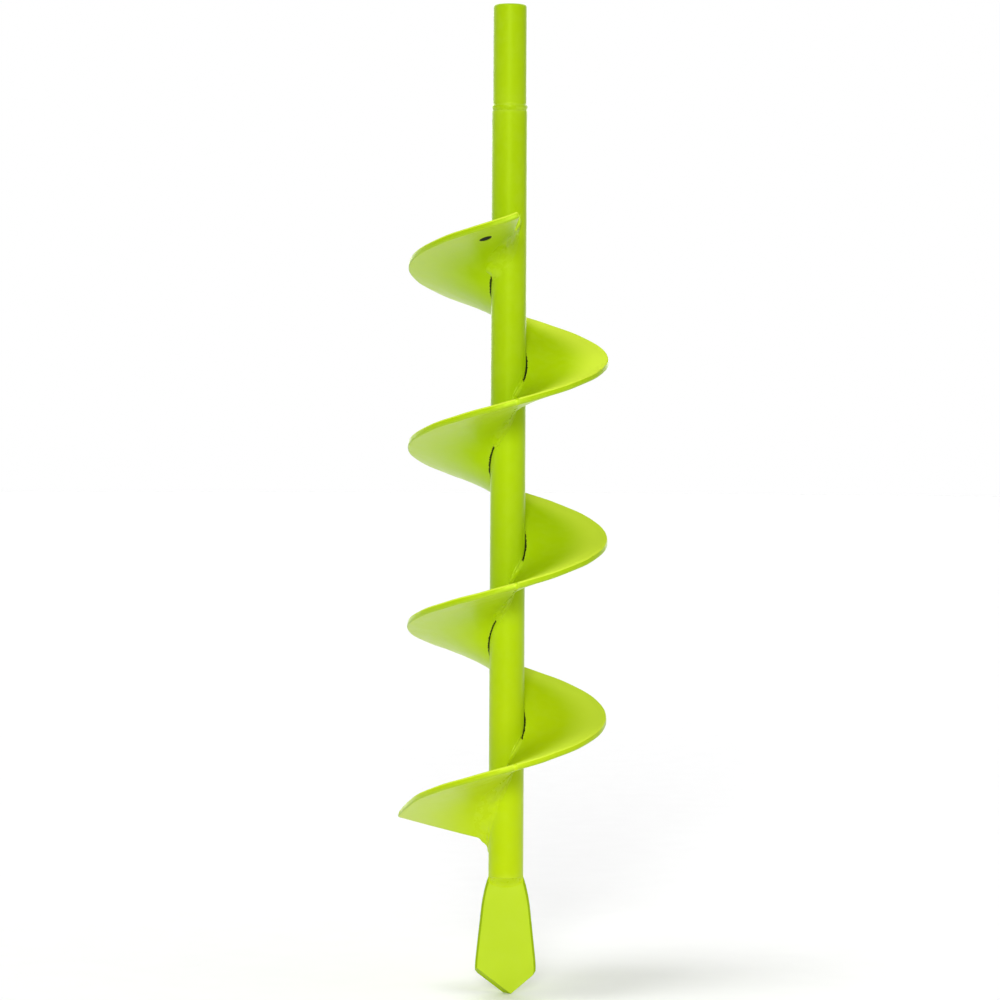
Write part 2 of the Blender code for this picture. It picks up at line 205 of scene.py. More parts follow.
# Scales of the noise in the materials, in waves to a metre, and depths of their bumps.
DRIFT_SCALE = 14
CLOUD_SCALE = 120
RAGGED_SCALE = 800
PEEL_SCALE = 420
FLOW_SCALE = 90
STREAK_SCALE = 900
FLOOR_SCALE = 30
PEEL_DEPTH = 0.25 * MM
STREAK_DEPTH = 0.2 * MM

# Studio light. Lobes are (azimuth, elevation, strength). Suns are (name, azimuth, elevation, size,
# strength). Angles are in degrees. Azimuth 0 is the viewer's side, 90 the right, 180 behind the auger.
WORLD_LOBES = [(0, 5, 0.5), (180, 15, 4.6), (-135, 15, 0.5), (60, 50, 0.9)]
LOBE_SHARPNESS = 6
SUNS = [("front_light", -3, 18, 14, 0.54), ("key_light", -50, 70, 22, 0.36)]
FLOOR_RADIUS = 12

# Camera. The lens and the sensor are in millimetres.
LENS = 135
SENSOR_WIDTH = 36
CAMERA_DISTANCE = 2.8575
CAMERA_PITCH = 0.034
CAMERA_ROLL = 0.0051
CAMERA_SIDE = -5.87 * MM
CAMERA_AIM = -376.1 * MM


# ---------------------------------------------------------------- shape of the flight


def fraction(value, start, end):
    return np.clip((value - start) / (end - start), 0, 1)


def smooth(share):
    return share * share * (3 - 2 * share)


def rim_radius(angle):
    return FLIGHT_RADIUS + FLARE * fraction(angle, FLARE_START, WING_END) ** 2


def middle(radius, angle):
    """Middle of the plate at that radius and angle, as an array of points."""
    across = (radius - FLIGHT_ROOT) / (rim_radius(angle) - FLIGHT_ROOT)
    bent = fraction(angle, WING_START, WING_END) ** 2
    drop = bent * (WING_ROOT_DROP * (1 - across) + WING_CORNER_DROP * across)
    lift = LIFT * fraction(angle, LIFT_START, WING_START)
    x = radius * np.cos(angle)
    y = radius * np.sin(angle)
    curl = CURL * across * fraction(angle, CURL_START, FLIGHT_TOP) ** 2
    z = RIM_HEIGHT + RISE * angle - DISH * (1 - across) + lift + curl - drop - SKEW * x
    return np.stack([x, y, z], axis=-1)


def plate_normal(radius, angle):
    """Direction square to the plate's upper face, from small steps outward and onward."""
    step = 0.05 * MM
    turn = 0.0005
    outward = middle(radius + step, angle) - middle(radius - step, angle)
    onward = middle(radius, angle + turn) - middle(radius, angle - turn)
    normal = np.cross(outward, onward)
    return normal / np.linalg.norm(normal, axis=-1, keepdims=True)


def half_thickness(radius, angle):
    across = (radius - FLIGHT_ROOT) / (rim_radius(angle) - FLIGHT_ROOT)
    return 0.5 * (ROOT_THICKNESS + (RIM_THICKNESS - ROOT_THICKNESS) * np.clip(across, 0, 1))


def face_height(radius, angle, side):
    """Height of the plate's upper face (side 1) or lower face (side -1)."""
    held = np.maximum(radius, FLIGHT_ROOT)
    lean = plate_normal(held, angle)[..., 2]
    return middle(held, angle)[..., 2] + side * half_thickness(held, angle) / lean


def ripple(a, b, seed):
    """Smooth, repeatable unevenness between about -1 and 1 over two coordinates given in radians."""
    total = 0
    for n in range(1, 5):
        total = total + np.sin(n * 1.7 * a + 2.3 * seed + 1.9 * n) * np.sin(n * 1.3 * b + 1.1 * seed * n)
    return total / 2.2


# ---------------------------------------------------------------- meshes


def new_piece(name, mesh, node, material, sharp=SHARP):
    """Puts a finished mesh in the scene in place of its CAD node. Edges over sharp degrees stay sharp."""
    mesh.polygons.foreach_set("use_smooth", [True] * len(mesh.polygons))
    mesh.set_sharp_from_angle(angle=math.radians(sharp))
    mesh.materials.append(material)
    piece = bpy.data.objects.new(name, mesh)
    bpy.context.scene.collection.objects.link(piece)
    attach(piece, "root")
    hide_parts(node)
    return piece


def solid_mesh(name, points, faces):
    """A closed mesh with all its faces turned outward."""
    mesh = bpy.data.meshes.new(name)
    mesh.from_pydata(points.reshape(-1, 3).tolist(), [], faces)
    bm = bmesh.new()
    bm.from_mesh(mesh)
    bmesh.ops.recalc_face_normals(bm, faces=bm.faces)
    bm.to_mesh(mesh)
    bm.free()
    return mesh


def ring_faces(count, size, closed):
    """Faces between neighbouring rings of points, and from the last ring back to the first if closed."""
    faces = []
    for row in range(count if closed else count - 1):
        onward = (row + 1) % count
        for i in range(size):
            j = (i + 1) % size
            faces.append((row * size + i, row * size + j, onward * size + j, onward * size + i))
    return faces


def grid_mesh(name, rings, strips):
    """Joins closed rings in order. Ends are closed by strips between opposite points, or by one face."""
    rings = np.asarray(rings)
    count, size = rings.shape[:2]
    faces = ring_faces(count, size, closed=False)
    for base in (0, (count - 1) * size):
        if not strips:
            faces.append([base + i for i in range(size)])
            continue
        for i in range(size // 2 - 1):
            faces.append((base + i, base + i + 1, base + size - 2 - i, base + size - 1 - i))
    return solid_mesh(name, rings, faces)


def turned(profile, bumps=None):
    """Rings of points from (radius, height) points turned about Z. bumps says what to add to a radius."""
    profile = np.asarray(profile)
    angles = np.arange(ROUND_STEPS) * TAU / ROUND_STEPS
    radius = np.repeat(profile[:, :1], ROUND_STEPS, axis=1)
    height = np.repeat(profile[:, 1:], ROUND_STEPS, axis=1)
    if bumps is not None:
        radius = radius + bumps(np.arange(len(profile))[:, None] / (len(profile) - 1), angles[None, :])
    return np.stack([radius * np.cos(angles), radius * np.sin(angles), height], axis=-1)


def lathe(name, profile):
    """Turns an open line of (radius, height) points about Z, and closes each end with one face."""
    return grid_mesh(name, turned(profile), strips=False)


def lathe_ring(name, profile, bumps=None):
    """Turns a closed (radius, height) section about Z."""
    points = turned(profile, bumps)
    return solid_mesh(name, points, ring_faces(*points.shape[:2], closed=True))


def arc(centre, radius, start, end, steps):
    """Points of an arc from start to end, in degrees."""
    turns = np.radians(np.linspace(start, end, steps + 1))
    return [(centre[0] + radius * math.cos(a), centre[1] + radius * math.sin(a)) for a in turns]


def quadratic(start, pull, end, steps):
    """Points of a soft bend from start to end, drawn towards pull, both ends included."""
    t = np.linspace(0, 1, steps + 1)[:, None]
    start, pull, end = (np.asarray(point) for point in (start, pull, end))
    return start * (1 - t) ** 2 + pull * (2 * t * (1 - t)) + end * t**2


def cubic(start, first, second, end, t):
    """Points at shares t of a bend from start to end, drawn towards first and then towards second."""
    return start * (1 - t) ** 3 + first * 3 * t * (1 - t) ** 2 + second * 3 * t**2 * (1 - t) + end * t**3


def coat_apart(mesh, material, test):
    """Gives the faces whose normal passes the test a coat of their own."""
    mesh.materials.append(material)
    for face in mesh.polygons:
        if test(face.normal):
            face.material_index = 1


# ---------------------------------------------------------------- flight, wing and seams


def plate_section():
    """Half the plate's section, root to rim: share of the way out, and steps in from rim and face."""
    face = [(share, 0.0, 0.0) for share in np.linspace(0, 1, FACE_STEPS + 1)[:-1]]
    edge = [(1.0, 1 - math.cos(a), 1 - math.sin(a)) for a in np.linspace(math.pi / 2, 0, EDGE_STEPS + 1)]
    return np.asarray(face + edge)


def plate(name, node, material, low, high, crown=0, free_low=False, free_high=False):
    """A stretch of flight. low and high are (angle, inset along the plate); a free end is rounded off."""
    stations = max(6, math.ceil((high[0] - low[0]) / STATION_ANGLE))
    along = [(share, 0.0, 0.0) for share in np.linspace(0, 1, stations + 1)]
    turns = np.linspace(0, math.pi / 2, EDGE_STEPS + 1)[1:]
    rounding = [(1 - math.cos(a), math.sin(a)) for a in turns]
    if free_low:
        along = [(0.0, shrink, -reach) for shrink, reach in rounding[::-1]] + along
    if free_high:
        along = along + [(1.0, shrink, reach) for shrink, reach in rounding]
    section = plate_section()
    share_out = np.concatenate([section[:, 0], section[::-1, 0]])
    in_from_rim = np.concatenate([section[:, 1], section[::-1, 1]])
    in_from_face = np.concatenate([section[:, 2], section[::-1, 2]])
    side = np.concatenate([np.ones(len(section)), -np.ones(len(section))])
    rings = []
    for share, shrink, reach in along:
        radius = FLIGHT_ROOT + share_out * (FLIGHT_RADIUS - FLIGHT_ROOT)
        start = low[0] + (low[1] + (END_EDGE if free_low else 0)) / radius
        end = high[0] - (high[1] + (END_EDGE if free_high else 0)) / radius
        angle = start + (end - start) * share + reach * END_EDGE / radius
        rim = rim_radius(angle)
        radius = FLIGHT_ROOT + share_out * (rim - FLIGHT_ROOT) - in_from_rim * RIM_EDGE
        radius = radius - share_out * (shrink * END_EDGE + RIM_WEAR * (1 + ripple(9 * angle, 0, 3)))
        radius = np.where(share_out == 0, TUBE_RADIUS - SINK, radius)
        thick = half_thickness(radius, angle) - in_from_face * RIM_EDGE - shrink * END_EDGE
        bead = crown * math.sin(math.pi * share) ** 2 * (1 + 0.4 * ripple(radius / SEAM_LUMP, angle, 5))
        sway = PLATE_SWAY * share_out * ripple(2.3 * angle, 5 * share_out, 1)
        offset = side * (thick + bead) + sway
        rings.append(middle(radius, angle) + plate_normal(radius, angle) * offset[:, None])
    mesh = grid_mesh(name, rings, strips=True)
    return new_piece(name, mesh, node, material)


def punch_hole(piece, wall_material):
    """Cuts the hanging hole square through the plate, lightly countersunk, and gives its wall painted shade.
    """
    centre = Vector(middle(HOLE_DISTANCE, HOLE_ANGLE))
    axis = Vector(plate_normal(HOLE_DISTANCE, HOLE_ANGLE))
    half = RIM_THICKNESS / 2
    beyond = 2 * MM
    wide = HOLE_RADIUS + HOLE_BEVEL + beyond
    profile = [
        (wide, half + beyond),
        (HOLE_RADIUS, half - HOLE_BEVEL),
        (HOLE_RADIUS, HOLE_BEVEL - half),
        (wide, -half - beyond),
    ]
    cutter = bpy.data.objects.new("hole_cutter", lathe("hole_cutter", profile))
    bpy.context.scene.collection.objects.link(cutter)
    cutter.matrix_world = Matrix.Translation(centre) @ axis.to_track_quat("Z", "Y").to_matrix().to_4x4()
    cut = piece.modifiers.new("hanging_hole", "BOOLEAN")
    cut.operation = "DIFFERENCE"
    cut.solver = "EXACT"
    cut.object = cutter
    graph = bpy.context.evaluated_depsgraph_get()
    mesh = bpy.data.meshes.new_from_object(piece.evaluated_get(graph))
    piece.modifiers.clear()
    piece.data = mesh
    bpy.data.objects.remove(cutter)
    # The hole's wall is drawn near black, as painted shade.
    mesh.materials.append(wall_material)
    for face in mesh.polygons:
        from_centre = face.center - centre
        out = (from_centre - axis * from_centre.dot(axis)).length
        if out < HOLE_RADIUS + 0.05 * MM and abs(face.normal.dot(axis)) < 0.5:
            face.material_index = 2
    mesh.set_sharp_from_angle(angle=math.radians(SHARP))


def faces_up(normal):
    return normal.z > UPWARD


def build_flight(coat, top_coat, weld_coat, hole_wall_shade):
    for turn in range(TURNS):
        high = FLIGHT_TOP - turn * TAU
        low = high - TAU
        high_end = (high, SEAM_HALF_WIDTH if turn else 0)
        low_end = (low, SEAM_HALF_WIDTH)
        node = f"flight_turn_{turn + 1}"
        free = turn == 0
        section = plate(f"coated_{node}", node, coat, low_end, high_end, free_high=free)
        coat_apart(section.data, top_coat, faces_up)
        if turn == 0:
            punch_hole(section, hole_wall_shade)
        seam = f"seam_weld_{turn + 1}"
        ends = (low, -SEAM_HALF_WIDTH)
        plate(f"coated_{seam}", seam, weld_coat, ends, ends, crown=SEAM_CROWN)
    node = "cutting_wing"
    low_end = (WING_END, 0)
    high_end = (WING_START, SEAM_HALF_WIDTH)
    wing = plate(f"coated_{node}", node, coat, low_end, high_end, free_low=True)
    coat_apart(wing.data, top_coat, faces_up)


# ---------------------------------------------------------------- welds


def lumpy(points, size, seed):
    """Smooth unevenness between -1 and 1 at each point. It is the same on every run."""
    shift = Vector((seed, 0.37 * seed, 0))
    return np.asarray([noise.noise(Vector(point) / size + shift) for point in points])


def fillet(node, material, front, side, legs, tips, lumps=0.5 * MM, bulge=0.0, crest=0.0):
    """A bead that fills the corner between tube and plate, tangent to both.

    side: 1 on the plate's upper face, -1 on its lower face.
    legs: rows of (angle from the front, leg on the tube in mm, leg on the plate in mm), angles rising.
    tips: angles over which the bead fades out at its low and its high end. A low end of 0 stays full, and
        sinks a little below the plate's rounded end.
    lumps: height of the bead's unevenness.
    bulge: how far the bead stands up along its edge on the tube.
    crest: height of the rounded back that closes the bead where it runs past the plate's end.
    """
    legs = np.asarray(legs) * (1, MM, MM)
    low, high = legs[0, 0], legs[-1, 0]
    stations = max(16, math.ceil((high - low) / (0.6 * STATION_ANGLE)))
    full_low = tips[0] == 0
    tube = TUBE_RADIUS - SINK
    t = np.linspace(0, 1, WELD_STEPS + 1)[:, None]
    window = np.sin(np.pi * t[:, 0]) ** 1.3
    ridge = np.exp(-(((t[:, 0] - RIDGE_PLACE) / RIDGE_WIDTH) ** 2))
    rings = []
    for turned_by in np.linspace(low, high, stations + 1):
        angle = front + turned_by
        fullness = smooth(min(1, (high - turned_by) / tips[1] + 0.02))
        sunk = SINK
        if full_low:
            sunk = sunk + 0.5 * END_EDGE * fraction(turned_by, low + 0.15, low)
        else:
            fullness = fullness * smooth(min(1, (turned_by - low) / tips[0] + 0.05))
        on_tube = np.interp(turned_by, legs[:, 0], legs[:, 1]) * math.sqrt(fullness)
        on_plate = np.interp(turned_by, legs[:, 0], legs[:, 2]) * math.sqrt(fullness)
        base = float(face_height(FLIGHT_ROOT, angle, side))
        reach = FLIGHT_ROOT + on_plate
        toe = np.array([tube, base + side * on_tube])
        edge = np.array([reach, float(face_height(reach, angle, side)) - side * sunk])
        corner = np.array([tube, base - side * SINK])
        first = toe + (corner - toe) * TIGHTNESS
        second = edge + (corner - edge) * TIGHTNESS
        curve = cubic(toe, first, second, edge, t)
        around = [(r * math.cos(angle), r * math.sin(angle), z) for r, z in curve]
        uneven = lumpy(around, LUMP_SIZE, 3.0) + 0.45 * lumpy(around, FINE_LUMP_SIZE, 8.0)
        swell = window * lumps * fullness * uneven + ridge * bulge * fullness
        curve = curve + swell[:, None] * np.array([0.75, 0.65 * side])
        curve[:, 0] = np.maximum(curve[:, 0], tube)
        inner = [(reach, edge[1] - side * BURY), (tube - BURY, base - side * BURY), (tube - BURY, toe[1])]
        if crest:
            foot = base - side * 1.6 * crest
            back = quadratic(curve[-1], (reach, base - side * crest), (tube, foot), 8)
            inner = [*back[1:], (tube - BURY, foot), (tube - BURY, toe[1])]
        points = np.concatenate([curve, inner])
        rings.append([(r * math.cos(angle), r * math.sin(angle), z) for r, z in points])
    mesh = grid_mesh(f"coated_{node}", rings, strips=False)
    return new_piece(f"coated_{node}", mesh, node, material, sharp=WELD_SHARP)


def build_flight_welds(coat):
    node = "flight_end_weld"
    fillet("under_weld_1", coat, FRONT, -1, FIRST_LEGS, (0.16, 0.06), lumps=1.2 * MM)
    fillet(node, coat, FRONT, -1, END_LEGS, (0.05, 0.2), lumps=0.7 * MM, bulge=0.4 * MM, crest=4 * MM)
    for turn, legs, low_tip in ((1, SECOND_LEGS, 0.15), (2, THIRD_LEGS, 0.15), (3, LAST_LEGS, 0)):
        here = FRONT - turn * TAU
        node = f"under_weld_{turn + 1}"
        fillet(node, coat, here, -1, legs, (low_tip, 0.4), lumps=1.0 * MM, bulge=0.6 * MM)
        fillet(f"upper_weld_{turn}", coat, here, 1, UPPER_LEGS, (0.1, 0.15), bulge=0.5 * MM)
        fillet(f"rear_weld_{turn}", coat, here + math.pi, 1, REAR_LEGS, (0.2, 0.2))


def build_spigot_weld(coat):
    """The ring weld: a low, lumpy roll between the spigot and the tube's chamfered end."""
    above = SPIGOT_FOOT + 4 * MM
    below = TUBE_TOP - 2.4 * MM
    top = [(SPIGOT_RADIUS - SINK, above), (SPIGOT_RADIUS + 0.02 * MM, SPIGOT_FOOT + 2.9 * MM)]
    roll = arc((TUBE_RADIUS - 2.6 * MM, SPIGOT_FOOT + 0.4 * MM), RING_ROLL, 44, -30, 16)
    groove = [(TUBE_RADIUS - 0.3 * MM, TUBE_TOP - 1.9 * MM), (TUBE_RADIUS - 0.45 * MM, below)]
    inner = [(SPIGOT_RADIUS - BURY, below), (SPIGOT_RADIUS - BURY, above)]
    outer_count = len(top + roll + groove)

    def bumps(share, angle):
        on_face = np.clip(share * (outer_count + 1) / (outer_count - 1), 0, 1)
        return RING_LUMPS * np.sin(np.pi * on_face) ** 2 * ripple(7 * angle, 6 * share, 2)

    mesh = lathe_ring("coated_spigot_weld", top + roll + groove + inner, bumps)
    new_piece("coated_spigot_weld", mesh, "spigot_weld", coat, sharp=WELD_SHARP)


def build_point_welds(coat):
    """Beads that sweep in a soft S from the tube's end down to the blade's front and back."""
    face = BLADE_THICKNESS / 2 - SINK
    t = np.linspace(0, 1, WELD_STEPS + 1)[:, None]
    for side, node in ((-1, "point_weld_front"), (1, "point_weld_back")):
        rings = []
        for turn in np.linspace(0, math.pi, POINT_WELD_STEPS + 1):
            across = (TUBE_RADIUS - 0.1 * MM) * math.cos(turn)
            out = math.sqrt(max(0, (TUBE_RADIUS - SINK) ** 2 - across**2))
            out = max(out, face + 0.05 * MM)
            foot = POINT_WELD * (0.35 + 0.65 * math.sin(turn))
            top = np.array([out, TUBE_BOTTOM + POINT_OVERLAP])
            low = np.array([face, TUBE_BOTTOM - foot])
            drop = np.array([0, POINT_OVERLAP + foot])
            curve = cubic(top, top - 0.18 * drop, low + 0.35 * drop, low, t)
            around = [(across, y, z) for y, z in curve]
            uneven = np.sin(np.pi * t[:, 0]) * POINT_LUMPS * lumpy(around, POINT_LUMP_SIZE, 5.0)
            curve[:, 0] = np.maximum(curve[:, 0] + uneven, face)
            inner = [(0.5 * MM, curve[-1][1]), (0.5 * MM, top[1])]
            points = np.concatenate([curve, inner])
            rings.append([(across, side * y, z) for y, z in points])
        mesh = grid_mesh(f"coated_{node}", rings, strips=False)
        new_piece(f"coated_{node}", mesh, node, coat, sharp=WELD_SHARP)


# ---------------------------------------------------------------- spigot, tube and point


def build_spigot(coat):
    rim = arc((SPIGOT_RADIUS - SPIGOT_EDGE, -SPIGOT_EDGE), SPIGOT_EDGE, 90, 0, 10)
    body = [
        (SPIGOT_RADIUS, SPIGOT_FOOT + 2.6 * MM),
        (SPIGOT_RADIUS - 2.2 * MM, SPIGOT_FOOT),
        (SPIGOT_RADIUS - 2.4 * MM, SPIGOT_END + 1 * MM),
        (SPIGOT_RADIUS - 3.4 * MM, SPIGOT_END),
    ]
    mesh = lathe("coated_drive_spigot", [(4 * MM, 0)] + rim + body)
    new_piece("coated_drive_spigot", mesh, "drive_spigot", coat)


def build_tube(coat):
    bore = TUBE_RADIUS - TUBE_WALL
    top = [(bore, TUBE_TOP), (bore + 0.6 * MM, TUBE_TOP), (TUBE_RADIUS, TUBE_TOP - 2.3 * MM)]
    wall = [(TUBE_RADIUS, z) for z in np.linspace(TUBE_TOP - 6 * MM, TUBE_BOTTOM + 6 * MM, 40)]
    edge = [(TUBE_RADIUS, TUBE_BOTTOM + 0.5 * MM), (TUBE_RADIUS - 0.5 * MM, TUBE_BOTTOM)]
    mesh = lathe_ring("coated_shaft_tube", top + wall + edge + [(bore, TUBE_BOTTOM)])
    new_piece("coated_shaft_tube", mesh, "shaft_tube", coat)


def blade_side():
    """One side of the blade from the neck to the shoulder, as (half width, depth below the blade's top)."""
    neck = quadratic((NECK_HALF_WIDTH, 0), NECK_BEND, FLARED, 12)
    shoulder = quadratic(SHOULDER_BEND, SHOULDER_CORNER, SHOULDER, 10)
    return [tuple(point) for point in neck] + [tuple(point) for point in shoulder]


def keep_behind(bm, point, normal):
    """Cuts away what lies in front of the plane, and closes the cut."""
    everything = bm.verts[:] + bm.edges[:] + bm.faces[:]
    cut = bmesh.ops.bisect_plane(bm, geom=everything, plane_co=point, plane_no=normal, clear_outer=True)
    rim = [edge for edge in cut["geom_cut"] if isinstance(edge, bmesh.types.BMEdge)]
    bmesh.ops.holes_fill(bm, edges=rim)


def is_cut(normal):
    return abs(normal.x) > SIDEWAYS or normal.z < DOWNWARD


def build_point(coat, shaded_cut_coat):
    """The blade: outline, extrusion, softened side edges, and one relief on each face of the V."""
    top = TUBE_BOTTOM - PART_GAP
    length = top - TIP_HEIGHT + RELIEF_LOSS
    right = [(x, -depth) for x, depth in blade_side()]
    left = [(-x, z) for x, z in reversed(right)]
    tip = [(TIP_OFFSET + side * TIP_HALF_WIDTH, -length) for side in (1, -1)]
    half = BLADE_THICKNESS / 2
    bm = bmesh.new()
    face = bm.faces.new([bm.verts.new((x, -half, top + z)) for x, z in right + tip + left])
    made = bmesh.ops.extrude_face_region(bm, geom=[face])
    moved = [item for item in made["geom"] if isinstance(item, bmesh.types.BMVert)]
    bmesh.ops.translate(bm, verts=moved, vec=(0, BLADE_THICKNESS, 0))
    shoulder_height = top - SHOULDER[1]
    sides = []
    for edge in bm.edges:
        a, b = (vert.co for vert in edge.verts)
        if abs(a.y - b.y) < half and a.x * b.x > 0 and min(a.z, b.z) > shoulder_height - 0.1 * MM:
            sides.append(edge)
    bmesh.ops.bevel(bm, geom=sides, offset=BLADE_CHAMFER, segments=1, affect="EDGES")
    for side in (-1, 1):
        shoulder = Vector((side * SHOULDER[0], 0, shoulder_height))
        point = Vector((TIP_OFFSET + side * TIP_HALF_WIDTH, 0, top - length))
        run = (point - shoulder).normalized()
        inward = Vector((-side * abs(run.z), 0, abs(run.x)))
        depth = Vector((0, side * half, 0))
        normal = run.cross(2 * depth + inward * RELIEF_HEIGHT).normalized()
        if normal.dot(inward) > 0:
            normal.negate()
        keep_behind(bm, shoulder - depth, normal)
    bmesh.ops.recalc_face_normals(bm, faces=bm.faces)
    mesh = bpy.data.meshes.new("coated_spade_point")
    bm.to_mesh(mesh)
    bm.free()
    piece = new_piece("coated_spade_point", mesh, "spade_point", coat, sharp=BLADE_SHARP)
    # Painted shade: cut edges and reliefs that face sideways or down are drawn darker.
    coat_apart(mesh, shaded_cut_coat, is_cut)
    soften = piece.modifiers.new("soft_edges", "BEVEL")
    soften.width = BLADE_EDGE
    soften.segments = 3
    soften.limit_method = "ANGLE"
    soften.angle_limit = math.radians(BLADE_SOFTENED)
    soften.harden_normals = True


# ---------------------------------------------------------------- materials


class Nodes:
    """Short forms for adding and linking shader nodes."""

    def __init__(self, owner):
        self.tree = owner.node_tree
        self.shader = self.tree.nodes.get("Principled BSDF")

    def add(self, kind, **inputs):
        node = self.tree.nodes.new(kind)
        for name, value in inputs.items():
            self.put(node.inputs[name.replace("_", " ")], value)
        return node

    def put(self, socket, value):
        if isinstance(value, bpy.types.NodeSocket):
            self.tree.links.new(value, socket)
        else:
            socket.default_value = value

    def math(self, operation, *values):
        node = self.tree.nodes.new("ShaderNodeMath")
        node.operation = operation
        for socket, value in zip(node.inputs, values):
            self.put(socket, value)
        return node.outputs[0]

    def measure(self, operation, *vectors):
        """A vector operation that gives a number."""
        node = self.tree.nodes.new("ShaderNodeVectorMath")
        node.operation = operation
        for socket, value in zip(node.inputs, vectors):
            self.put(socket, value)
        return node.outputs["Value"]

    def ramp(self, value, low, high, start=0.0, end=1.0):
        """value from low to high, mapped smoothly from start to end."""
        node = self.tree.nodes.new("ShaderNodeMapRange")
        node.interpolation_type = "SMOOTHSTEP"
        names = ("Value", "From Min", "From Max", "To Min", "To Max")
        for name, item in zip(names, (value, low, high, start, end)):
            self.put(node.inputs[name], item)
        return node.outputs[0]

    def noise(self, where, scale, detail=2.0, roughness=0.5):
        node = self.add("ShaderNodeTexNoise", Vector=where, Scale=scale, Detail=detail, Roughness=roughness)
        return node.outputs["Fac"]

    def mix(self, share, first, second):
        node = self.tree.nodes.new("ShaderNodeMix")
        node.data_type = "RGBA"
        self.put(node.inputs[0], share)
        for index, value in ((6, first), (7, second)):
            self.put(node.inputs[index], value if isinstance(value, bpy.types.NodeSocket) else (*value, 1))
        return node.outputs[2]


def new_material(name):
    """A material, its nodes, and its coordinates on the object."""
    material = bpy.data.materials.new(name)
    material.use_nodes = True
    n = Nodes(material)
    return material, n, n.add("ShaderNodeTexCoord").outputs["Object"]


def root_distance(n, where):
    """Height of a point above or below the plate's root line beside it, as a node socket."""
    x, y, z = n.add("ShaderNodeSeparateXYZ", Vector=where).outputs
    turn = n.math("DIVIDE", n.math("ARCTAN2", y, x), TAU)
    tilt = n.math("MULTIPLY", x, SKEW)
    height = n.math("SUBTRACT", n.math("ADD", z, tilt), RIM_HEIGHT - DISH)
    share = n.math("SUBTRACT", n.math("DIVIDE", height, PITCH), turn)
    whole = n.math("ROUND", share)
    return n.math("MULTIPLY", n.math("ABSOLUTE", n.math("SUBTRACT", share, whole)), PITCH)


def gap_shade_share(n, where, height, radius, surface):
    """How strongly painted shade darkens the ragged gap at the flight's root, on the plate or on the tube.
    """
    ragged = n.math("MULTIPLY", n.math("SUBTRACT", n.noise(where, RAGGED_SCALE, 3), 0.5), RAGGEDNESS)
    if surface == "plate":
        return n.ramp(n.math("ADD", radius, ragged), *GAP_RADII, 1, 0)
    gap = n.math("ADD", root_distance(n, where), ragged)
    gap_shade = n.ramp(gap, *GAP_EDGE, 1, 0)
    inside = n.ramp(height, *GAP_FOOT)
    below = n.ramp(height, *GAP_TOP, 1, 0)
    return n.math("MULTIPLY", gap_shade, n.math("MULTIPLY", inside, below))


